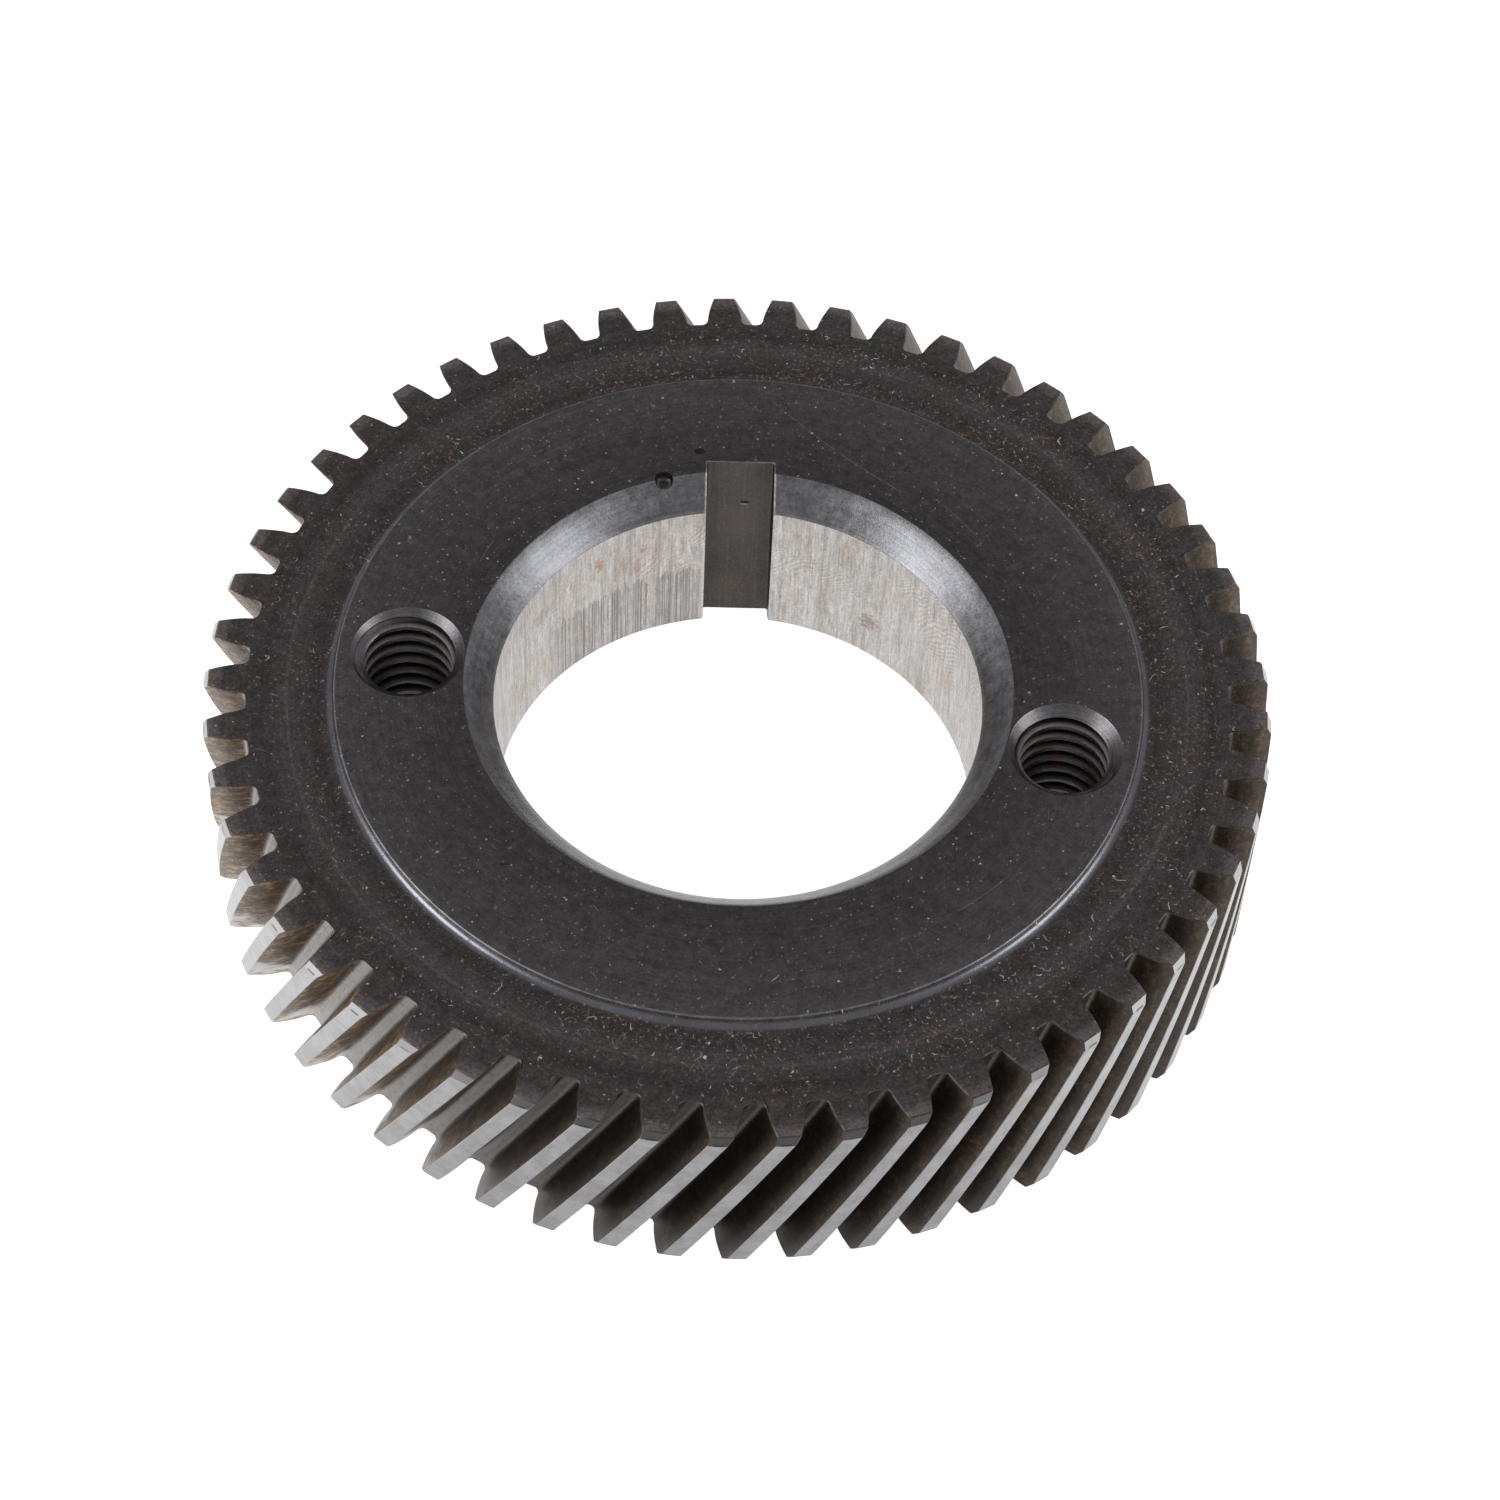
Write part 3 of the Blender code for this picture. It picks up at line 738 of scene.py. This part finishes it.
def bore_material():
    k = Nodes("bored_steel")
    cx, cy = k.math('COSINE', k.theta), k.math('SINE', k.theta)
    def walls(around, along):
        return k.xyz(k.math('MULTIPLY', cx, 14.0 * around), k.math('MULTIPLY', cy, 14.0 * around), k.math('MULTIPLY', k.z, along))
    streak = k.noise(walls(3.2, 0.16), 1.0, 4.0, 0.7)
    fine = k.noise(walls(7.0, 0.8), 1.0, 4.0, 0.75)
    grit = k.noise(k.p, 6.0, 4.0, 0.75)
    pits = k.noise(k.p, 2.6, 4.0, 0.65)
    stain = k.noise(k.xyz(k.x, k.y, k.math('MULTIPLY', k.z, 0.5)), 0.55, 4.0, 0.6)
    colour = k.ramp(streak, [(0.26, (0.36, 0.335, 0.32)), (0.46, (0.50, 0.475, 0.455)), (0.72, (0.60, 0.58, 0.565))])
    def vary(colour, v, amount):
        gain = k.math('ADD', 1.0, k.math('MULTIPLY', k.math('SUBTRACT', v, 0.5), amount))
        return k.mix(1.0, colour, gain, 'MULTIPLY')
    colour = vary(colour, fine, 1.3)
    colour = vary(colour, grit, 1.1)
    colour = k.mix(k.math('MULTIPLY', k.step(stain, 0.46, 0.70), 0.55), colour, k.mix(1.0, colour, (0.88, 0.76, 0.68), 'MULTIPLY'))

    # feed marks left by the finishing stone: slanted, wandering fine lines
    angle = k.theta
    u = k.math('MULTIPLY', angle, 14.0)
    drift = k.noise(k.p, 0.35, 2.0, 0.5)
    phase = k.math('ADD', k.math('MULTIPLY', k.math('ADD', u, k.math('MULTIPLY', k.z, 1.3)), 2 * pi / 0.46), k.math('MULTIPLY', drift, 46.0))
    waves = k.math('SINE', phase)
    zone = k.math('MULTIPLY', k.step(k.noise(k.p, 0.28, 1.0), 0.42, 0.60), k.step(k.z, 5.6, 7.6))
    colour = vary(colour, k.math('ADD', 0.5, k.math('MULTIPLY', k.math('MULTIPLY', waves, zone), 0.5)), 0.26)

    # scored band low on the far left wall: dense dark axial lines with a stepped top
    lines = k.noise(walls(5.5, 0.03), 1.0, 4.0, 0.8)
    level = k.math('ADD', 6.75, k.math('MULTIPLY', k.math('SUBTRACT', k.noise(walls(2.6, 0.0), 1.0, 3.0), 0.5), 2.2))
    below = k.step(k.math('SUBTRACT', k.z, level), 0.25, -0.15)
    sector = k.math('MULTIPLY', k.step(k.theta, radians(97), radians(103)), k.step(k.theta, radians(146), radians(136)))
    band = k.math('MULTIPLY', k.math('MULTIPLY', k.step(lines, 0.44, 0.58), below), sector)
    colour = k.mix(k.math('MULTIPLY', band, 0.72), colour, (0.215, 0.195, 0.185))
    colour = k.mix(k.math('MULTIPLY', k.math('MULTIPLY', below, sector), 0.06), colour, (0.30, 0.275, 0.26))
    faint = k.math('MULTIPLY', k.step(k.noise(walls(2.2, 0.02), 1.0, 3.0, 0.7), 0.56, 0.72), 0.55)
    colour = k.mix(faint, colour, (0.30, 0.275, 0.26))

    # pits and rust
    colour = k.mix(k.math('MULTIPLY', k.step(pits, 0.66, 0.71), 0.75), colour, (0.18, 0.13, 0.11))
    def blot(deg, z, w, h, ragged=1.4):
        a = radians(deg)
        du = k.math('SUBTRACT', u, 14.0 * a)
        d = k.math('ADD', k.math('POWER', k.math('DIVIDE', du, w), 2.0),
                   k.math('POWER', k.math('DIVIDE', k.math('SUBTRACT', k.z, z), h), 2.0))
        d = k.math('ADD', d, k.math('MULTIPLY', k.math('SUBTRACT', k.noise(k.p, 3.5, 3.0, 0.6), 0.5), 3.0 * ragged))
        return k.step(d, 1.3, 0.2)
    colour = k.mix(k.math('MULTIPLY', blot(146, 9.3, 0.9, 0.7), 0.45), colour, (0.30, 0.25, 0.17))
    colour = k.mix(k.math('MULTIPLY', blot(115.4, 8.3, 0.25, 0.9), 0.45), colour, (0.36, 0.23, 0.15))
    colour = k.mix(k.math('MULTIPLY', blot(126.2, 10.1, 0.34, 0.75, 2.0), 0.65), colour, (0.40, 0.225, 0.125))
    colour = k.mix(k.math('MULTIPLY', blot(114.2, 9.7, 0.34, 0.22, 2.2), 0.6), colour, (0.42, 0.18, 0.09))
    colour = k.mix(k.math('MULTIPLY', blot(55, 5.0, 0.7, 0.7, 2.2), 0.55), colour, (0.22, 0.13, 0.10))
    rough = k.math('ADD', k.lerp(fine, 0.52, 0.38), k.math('MULTIPLY', band, 0.1))
    relief = k.math('ADD', k.math('MULTIPLY', streak, 0.5), k.math('MULTIPLY', fine, 0.5))
    relief = k.math('SUBTRACT', k.math('ADD', relief, k.math('MULTIPLY', grit, 0.4)), k.math('MULTIPLY', band, 0.4))
    n = k.bump(relief, 0.35, 0.00006)
    return k.finish(colour, rough, 1.0, n)


def chamfer_material():
    k = Nodes("turned_chamfer")
    rings = k.noise(k.polar(9.0, 1.2), 1.0, 3.0, 0.65)
    cloud = k.noise(k.p, 0.45, 4.0, 0.6)
    mott = k.noise(k.p, 1.8, 4.0, 0.7)
    grain = k.noise(k.p, 6.5, 4.0, 0.75)
    colour = k.mix(k.step(cloud, 0.35, 0.66), (0.255, 0.252, 0.262), (0.335, 0.334, 0.355))
    def vary(colour, v, amount):
        gain = k.math('ADD', 1.0, k.math('MULTIPLY', k.math('SUBTRACT', v, 0.5), amount))
        return k.mix(1.0, colour, gain, 'MULTIPLY')
    colour = vary(colour, rings, 0.7)
    colour = vary(colour, mott, 0.9)
    colour = vary(colour, grain, 1.3)
    specks = k.step(k.noise(k.p, 3.0, 2.0, 0.5), 0.68, 0.73)
    colour = k.mix(k.math('MULTIPLY', specks, 0.6), colour, (0.40, 0.26, 0.20))
    pits = k.step(k.noise(k.p, 3.6, 3.0, 0.6), 0.31, 0.27)
    colour = k.mix(k.math('MULTIPLY', pits, 0.7), colour, (0.06, 0.055, 0.055))
    # rubbed line where the chamfer runs out into the bore
    foot = k.math('MULTIPLY', k.step(k.r, 14.16, 14.05), k.lerp(k.noise(k.polar(1.0, 12.0), 1.0, 3.0), -0.3, 1.2))
    colour = k.mix(k.math('MULTIPLY', foot, 0.6, clamp=True), colour, (0.55, 0.53, 0.52))
    # the burr left where the broach came through the chamfer, coloured near white as a painted highlight of the glint
    # it catches
    burr_and_glint = k.math('MULTIPLY', k.step(k.math('ABSOLUTE', k.x), 2.14, 2.05), k.step(k.y, 13.0, 13.2))
    burr_and_glint = k.math('MULTIPLY', burr_and_glint, k.lerp(k.noise(k.p, 4.0, 2.0), -0.1, 1.6), clamp=True)
    colour = k.mix(burr_and_glint, colour, (0.95, 0.94, 0.93))
    metal = k.math('SUBTRACT', 1.0, k.math('MULTIPLY', burr_and_glint, 0.9))
    rough = k.math('ADD', k.lerp(cloud, 0.32, 0.40), k.math('MULTIPLY', k.math('SUBTRACT', mott, 0.5), 0.25))
    relief = k.math('ADD', k.math('MULTIPLY', rings, 0.4), k.math('MULTIPLY', grain, 0.6))
    n = k.bump(k.math('ADD', relief, k.math('MULTIPLY', mott, 0.5)), 0.35, 0.00005)
    return k.finish(colour, rough, metal, n)


def keyway_material():
    k = Nodes("broached_keyway")
    streak = k.noise(k.xyz(k.math('MULTIPLY', k.x, 6.0), k.math('MULTIPLY', k.y, 6.0), k.math('MULTIPLY', k.z, 0.12)), 1.0, 4.0, 0.65)
    cloud = k.noise(k.p, 0.45, 3.0, 0.6)
    grain = k.noise(k.p, 9.0, 3.0, 0.7)
    colour = k.mix(k.step(cloud, 0.35, 0.65), (0.092, 0.080, 0.073), (0.078, 0.071, 0.066))
    # painted shade: the keyway is painted darker toward its lower end
    colour = k.mix(k.step(k.z, 8.0, 2.0), colour, k.mix(1.0, colour, (0.80, 0.77, 0.74), 'MULTIPLY'))
    colour = k.mix(k.math('MULTIPLY', k.step(streak, 0.45, 0.72), 0.16), colour, (0.20, 0.178, 0.165))
    colour = k.mix(k.math('MULTIPLY', k.step(grain, 0.54, 0.70), 0.4), colour, (0.22, 0.197, 0.183))

    def spot(x, z, w, h):
        d = k.math('ADD', k.math('POWER', k.math('DIVIDE', k.math('SUBTRACT', k.x, x), w), 2.0),
                   k.math('POWER', k.math('DIVIDE', k.math('SUBTRACT', k.z, z), h), 2.0))
        return k.math('MULTIPLY', k.step(d, 1.25, 0.4), k.step(k.y, 16.0, 16.3))

    pit = spot(0.34, 10.13, 0.26, 0.12)
    colour = k.mix(pit, colour, (0.02, 0.018, 0.016))
    colour = k.mix(k.math('MULTIPLY', spot(0.30, 9.93, 0.26, 0.08), 0.6), colour, (0.30, 0.27, 0.24))
    colour = k.mix(k.math('MULTIPLY', spot(-0.88, 8.6, 0.22, 0.16), 0.85), colour, (0.16, 0.055, 0.05))
    # painted shade in the two rounded floor corners of the keyway
    edge = k.math('MULTIPLY', k.step(k.math('ABSOLUTE', k.x), 1.90, 1.96), k.step(k.y, 16.24, 16.3))
    colour = k.mix(k.math('MULTIPLY', edge, 0.5), colour, (0.06, 0.055, 0.05))
    n = k.bump(k.math('ADD', streak, k.math('MULTIPLY', grain, 0.5)), 0.25, 0.00004)
    n = k.bump(k.math('SUBTRACT', 1.0, pit), 0.8, 0.0001, n)
    return k.finish(colour, k.lerp(cloud, 0.42, 0.55), 1.0, n)


def hole_material():
    k = Nodes("tapped_hole")
    hx, hy = [HOLE_CIRCLE * f(HOLE_ANGLES[0]) for f in (cos, sin)]
    gx, gy = [HOLE_CIRCLE * f(HOLE_ANGLES[1]) for f in (cos, sin)]
    right = k.step(k.x, -0.01, 0.01)
    px = k.math('SUBTRACT', k.x, k.math('ADD', hx, k.math('MULTIPLY', right, gx - hx)))
    py = k.math('SUBTRACT', k.y, k.math('ADD', hy, k.math('MULTIPLY', right, gy - hy)))
    rr = k.math('SQRT', k.math('ADD', k.math('MULTIPLY', px, px), k.math('MULTIPLY', py, py)))
    depth = k.math('SUBTRACT', HUB_TOP, k.z)
    cloud = k.noise(k.p, 1.1, 3.0, 0.6)
    grain = k.noise(k.p, 6.0, 4.0, 0.75)
    lines = k.noise(k.xyz(k.math('MULTIPLY', rr, 12.0), k.math('MULTIPLY', depth, 12.0), 0.0), 1.0, 2.0, 0.6)
    colour = k.mix(k.step(cloud, 0.35, 0.65), (0.20, 0.19, 0.19), (0.26, 0.25, 0.262))
    gain = k.math('ADD', 1.0, k.math('MULTIPLY', k.math('SUBTRACT', lines, 0.5), 1.2))
    colour = k.mix(1.0, colour, gain, 'MULTIPLY')
    # painted light and shade in the tapped hole: the crests painted lighter as a highlight, the grooves near black as
    # painted shade, and painted shade growing with depth
    crest = k.step(rr, 2.80, 2.56)
    in_thread = k.step(depth, 0.60, 0.78)
    depth_shade = k.step(depth, 1.2, 5.5)
    thread = k.mix(crest, (0.026, 0.023, 0.022), k.mix(depth_shade, (0.34, 0.315, 0.31), (0.10, 0.092, 0.088)))
    colour = k.mix(in_thread, colour, thread)
    rim = k.math('MULTIPLY', k.step(rr, 3.20, 3.24), k.lerp(cloud, 0.0, 1.0))
    colour = k.mix(k.math('MULTIPLY', rim, 0.5), colour, (0.36, 0.355, 0.36))
    gain = k.math('ADD', 1.0, k.math('MULTIPLY', k.math('SUBTRACT', grain, 0.5), 1.1))
    colour = k.mix(1.0, colour, gain, 'MULTIPLY')
    brown = k.math('MULTIPLY', k.step(k.noise(k.p, 0.8, 3.0), 0.50, 0.64), in_thread)
    colour = k.mix(k.math('MULTIPLY', brown, 0.35), colour, (0.10, 0.068, 0.05))
    # a trace of red sealant deep in the right hole
    d = k.math('ADD', k.math('POWER', k.math('DIVIDE', k.math('SUBTRACT', px, -0.2), 0.55), 2.0),
               k.math('POWER', k.math('DIVIDE', k.math('SUBTRACT', depth, 4.3), 0.3), 2.0))
    red = k.math('MULTIPLY', k.math('MULTIPLY', k.step(d, 1.2, 0.4), right), k.step(py, 0.0, 0.2))
    colour = k.mix(k.math('MULTIPLY', red, 0.5), colour, (0.22, 0.04, 0.03))
    n = k.bump(k.math('ADD', lines, grain), 0.25, 0.00004)
    return k.finish(colour, k.lerp(cloud, 0.32, 0.44), 1.0, n)


def flank_coordinates(k):
    """Coordinates that follow the helix: the first two go round, z runs along a tooth."""
    t = k.math('SUBTRACT', k.theta, k.math('MULTIPLY', k.math('SUBTRACT', k.z, RIM_TOP), TWIST))
    return t, k.math('MULTIPLY', k.math('COSINE', t), 30.0), k.math('MULTIPLY', k.math('SINE', t), 30.0)


def flank_material():
    k = Nodes("hobbed_flank")
    t, tx, ty = flank_coordinates(k)
    along = k.noise(k.xyz(k.math('MULTIPLY', tx, 5.0), k.math('MULTIPLY', ty, 5.0), k.math('MULTIPLY', k.z, 0.4)), 1.0, 4.0, 0.7)
    blotch = k.noise(k.p, 0.42, 5.0, 0.62)
    speck = k.noise(k.p, 3.4, 4.0, 0.75)
    grain = k.noise(k.p, 6.5, 3.0, 0.75)
    root = k.step(k.r, ROOT_R + 0.22, ROOT_R + 0.06)
    left = k.step(k.x, -8.0, -24.0)
    low = k.step(k.z, 9.5, 3.5)
    def vary(colour, v, amount):
        gain = k.math('ADD', 1.0, k.math('MULTIPLY', k.math('SUBTRACT', v, 0.5), amount))
        return k.mix(1.0, colour, gain, 'MULTIPLY')
    # painted light: the flanks of the left-hand teeth are painted lighter, most toward their lower end; oily and dark
    # elsewhere
    painted_left_light = k.math('MULTIPLY', left, k.math('ADD', 0.25, k.math('MULTIPLY', low, 0.75)))
    steel = k.mix(painted_left_light, (0.044, 0.036, 0.031), (0.36, 0.335, 0.315))
    steel = vary(steel, along, 0.9)
    steel = vary(steel, grain, 0.9)
    # a lighter band near the tips, painted stronger on the left-hand teeth as painted light
    tip = k.step(k.r, TIP_R - 1.1, TIP_R - 0.1)
    steel = k.mix(k.math('MULTIPLY', tip, k.lerp(left, 0.22, 0.45)), steel, (0.22, 0.20, 0.185))
    oil = k.ramp(k.math('ADD', k.math('MULTIPLY', speck, 0.6), k.math('MULTIPLY', k.noise(k.p, 1.1, 3.0, 0.6), 0.4)),
                 [(0.36, (0.022, 0.015, 0.010)), (0.47, (0.060, 0.036, 0.019)), (0.53, (0.19, 0.110, 0.046)),
                  (0.59, (0.42, 0.26, 0.11)), (0.68, (0.50, 0.41, 0.31))])
    up = k.step(k.z, 3.0, 9.0)
    dirty = k.math('MULTIPLY', k.step(k.math('ADD', blotch, k.math('MULTIPLY', up, 0.22)), 0.42, 0.56), k.math('ADD', 0.14, k.math('MULTIPLY', left, 0.82)))
    dirty = k.math('MULTIPLY', dirty, k.math('SUBTRACT', 1.0, k.math('MULTIPLY', root, 0.7)))
    colour = k.mix(dirty, steel, oil)
    # root floor: cleaner, with tool lines and dark pits
    # painted light: the root floor is painted lighter on the left-hand teeth
    floor = k.mix(left, (0.085, 0.076, 0.070), (0.25, 0.235, 0.228))
    floor = vary(floor, along, 1.0)
    floor = vary(floor, speck, 0.8)
    floor = k.mix(k.math('MULTIPLY', k.step(speck, 0.40, 0.33), 0.8), floor, (0.07, 0.055, 0.05))
    colour = k.mix(k.math('MULTIPLY', root, 0.85), colour, floor)
    pits = k.step(k.noise(k.p, 3.0, 3.0, 0.6), 0.36, 0.31)
    colour = k.mix(k.math('MULTIPLY', pits, 0.8), colour, (0.05, 0.035, 0.03))
    # edge where the tooth space meets the end face
    lip = k.math('MAXIMUM', k.step(k.z, RIM_TOP - 0.10, RIM_TOP - 0.03), k.step(k.z, RIM_BOTTOM + 0.10, RIM_BOTTOM + 0.03))
    lip = k.math('MULTIPLY', lip, k.lerp(k.noise(k.p, 1.6, 3.0), -0.3, 1.3), clamp=True)
    colour = k.mix(k.math('MULTIPLY', lip, 0.5), colour, (0.30, 0.28, 0.265))
    rough = k.math('ADD', k.lerp(along, 0.38, 0.5), k.math('MULTIPLY', dirty, 0.10))
    metal = k.math('SUBTRACT', 1.0, k.math('MULTIPLY', dirty, 0.7))
    n = k.bump(k.math('ADD', along, k.math('MULTIPLY', speck, 0.8)), 0.35, 0.00005)
    return k.finish(colour, rough, metal, n)


def land_material():
    k = Nodes("tooth_tip")
    t, tx, ty = flank_coordinates(k)
    along = k.noise(k.xyz(k.math('MULTIPLY', tx, 0.6), k.math('MULTIPLY', ty, 0.6), k.math('MULTIPLY', k.z, 5.0)), 1.0, 3.0, 0.6)
    cloud = k.noise(k.p, 0.6, 4.0, 0.6)
    speck = k.noise(k.p, 4.5, 3.0, 0.7)
    colour = k.mix(k.step(cloud, 0.35, 0.65), (0.235, 0.228, 0.230), (0.295, 0.292, 0.302))
    def vary(colour, v, amount):
        gain = k.math('ADD', 1.0, k.math('MULTIPLY', k.math('SUBTRACT', v, 0.5), amount))
        return k.mix(1.0, colour, gain, 'MULTIPLY')
    colour = vary(colour, along, 0.35)
    colour = vary(colour, speck, 0.5)
    colour = k.mix(k.math('MULTIPLY', k.step(speck, 0.64, 0.72), 0.5), colour, (0.14, 0.115, 0.10))
    # the chamfer at each end of the tip, painted dark at the front and back and light at the two sides as a painted
    # reflection, and the short dark nick at its foot, a painted shade line
    away = k.math('MINIMUM', k.math('SUBTRACT', RIM_TOP, k.z), k.math('SUBTRACT', k.z, RIM_BOTTOM))
    on_chamfer = k.step(away, TIP_CH_Z + 0.02, TIP_CH_Z - 0.03)
    painted_side_sheen = k.step(k.math('ABSOLUTE', k.x), 9.0, 19.0)
    colour = k.mix(k.math('MULTIPLY', on_chamfer, 0.85), colour, k.mix(painted_side_sheen, (0.105, 0.100, 0.100), (0.36, 0.35, 0.355)))
    share = k.math('FRACT', k.math('ADD', k.math('DIVIDE', k.math('SUBTRACT', t, PHASE), PITCH_ANGLE), 20.0))
    mid = k.math('ABSOLUTE', k.math('SUBTRACT', share, 0.51))
    per_tooth = k.noise(k.xyz(k.math('MULTIPLY', tx, 0.12), k.math('MULTIPLY', ty, 0.12), 0.0), 1.0, 1.0)
    # painted shade: the nick is a dark line painted at the chamfer's foot, standing in for the shade of a small recess
    nick = k.math('MULTIPLY', k.step(mid, 0.100, 0.060), k.math('MULTIPLY', k.step(away, TIP_CH_Z - 0.11, TIP_CH_Z - 0.05), k.step(away, TIP_CH_Z + 0.07, TIP_CH_Z + 0.01)))
    nick = k.math('MULTIPLY', nick, k.step(per_tooth, 0.46, 0.54))
    colour = k.mix(k.math('MULTIPLY', nick, 0.7), colour, (0.05, 0.042, 0.04))
    rough = k.lerp(cloud, 0.33, 0.43)
    n = k.bump(along, 0.2, 0.00003)
    return k.finish(colour, rough, 1.0, n)


# ====================================================================== scene
gear = build_gear()
makers = {"face": face_material, "bore": bore_material, "chamfer": chamfer_material, "keyway": keyway_material,
          "hole": hole_material, "flank": flank_material, "land": land_material}
for slot in SLOTS:
    gear.data.materials.append(makers[slot]())
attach(gear, "root")
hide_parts(NODE)

# floor: a plain white table
bm = bmesh.new()
bmesh.ops.create_grid(bm, x_segments=1, y_segments=1, size=1.6)
bmesh.ops.translate(bm, verts=bm.verts, vec=(0, 0, HUB_BOTTOM * MM - 0.00002))
me = bpy.data.meshes.new("floor")
bm.to_mesh(me)
bm.free()
floor = bpy.data.objects.new("floor", me)
bpy.context.scene.collection.objects.link(floor)
# lit from below through the white sheet, more strongly at the two sides
white = bpy.data.materials.new("white_table")
white.use_nodes = True
nt = white.node_tree
shader = nt.nodes["Principled BSDF"]
shader.inputs["Base Color"].default_value = (0.60, 0.60, 0.60, 1)
shader.inputs["Roughness"].default_value = 0.9
shader.inputs["Specular IOR Level"].default_value = 0.1
shader.inputs["Emission Color"].default_value = (1, 1, 1, 1)
where = nt.nodes.new("ShaderNodeTexCoord")
split = nt.nodes.new("ShaderNodeSeparateXYZ")
side = nt.nodes.new("ShaderNodeMath")
side.operation = 'ABSOLUTE'
lift = nt.nodes.new("ShaderNodeMapRange")
lift.interpolation_type = 'SMOOTHSTEP'
for name, value in (("From Min", 0.010), ("From Max", 0.034), ("To Min", 0.97), ("To Max", 1.5)):
    lift.inputs[name].default_value = value
nt.links.new(where.outputs["Object"], split.inputs[0])
nt.links.new(split.outputs[0], side.inputs[0])
nt.links.new(side.outputs[0], lift.inputs["Value"])
nt.links.new(lift.outputs["Result"], shader.inputs["Emission Strength"])
floor.data.materials.append(white)

# world: a dim room above
world = bpy.data.worlds.new("room")
bpy.context.scene.world = world
world.use_nodes = True
nt = world.node_tree
back = nt.nodes["Background"]
back.inputs["Color"].default_value = (0.97, 0.965, 0.98, 1)
back.inputs["Strength"].default_value = 0.30


def softbox(name, azimuth, elevation, distance, size, radiance, colour=(1, 1, 1)):
    """A rectangular light of a known brightness, aimed at the gear."""
    light = bpy.data.lights.new(name, 'AREA')
    light.shape = 'RECTANGLE'
    light.size, light.size_y = size
    light.energy = radiance * pi * size[0] * size[1]
    light.color = colour
    ob = bpy.data.objects.new(name, light)
    bpy.context.scene.collection.objects.link(ob)
    a, e = radians(azimuth), radians(elevation)
    place = Vector((cos(e) * cos(a), cos(e) * sin(a), sin(e))) * distance
    ob.location = place
    ob.rotation_euler = (-place).to_track_quat('-Z', 'Y').to_euler()
    return ob


softbox("left_softbox", 195, 22, 0.7, (0.38, 0.46), 3.0, (0.955, 0.975, 1.0))
softbox("right_softbox", 348, 20, 0.7, (0.34, 0.42), 2.6, (0.955, 0.975, 1.0))

# camera: raised, in front of the gear, with its focal length set in units of the gear's own size
UNIT = 30.484                     # tip radius, mm
ELEV, DIST, ROLL, TX, TY, FOCAL = (
    radians(52.9482), 7.7849, radians(2.8505), -0.0210, -0.1196, 534.1279 * 7.7849)
TURN = radians(-1.97)             # the keyway is on +Y in this frame

back_v = np.array([0, -cos(ELEV), sin(ELEV)])
right_v = np.array([1.0, 0, 0])
up_v = np.cross(back_v, right_v)
R = np.stack([right_v, -up_v, -back_v])
c, s = cos(ROLL), sin(ROLL)
R = np.array([[c, -s, 0], [s, c, 0], [0, 0, 1]]) @ R
t = np.array([TX, TY, DIST])
centre = -R.T @ t * UNIT
turn = np.array([[cos(TURN), -sin(TURN), 0], [sin(TURN), cos(TURN), 0], [0, 0, 1]])
centre = turn @ centre + np.array([0, 0, RIM_TOP])
axes = turn @ np.stack([R[0], -R[1], -R[2]], 1)
cam_data = bpy.data.cameras.new("camera")
cam = bpy.data.objects.new("camera", cam_data)
bpy.context.scene.collection.objects.link(cam)
m = Matrix.Identity(4)
for i in range(3):
    for j in range(3):
        m[i][j] = axes[i][j]
    m[i][3] = centre[i] * MM
cam.matrix_world = m
cam_data.sensor_fit = 'HORIZONTAL'
cam_data.sensor_width = 36.0
cam_data.lens = FOCAL / 1500.0 * 36.0
cam_data.clip_start, cam_data.clip_end = 0.01, 10.0
bpy.context.scene.camera = cam
bpy.context.scene.view_settings.view_transform = 'Standard'
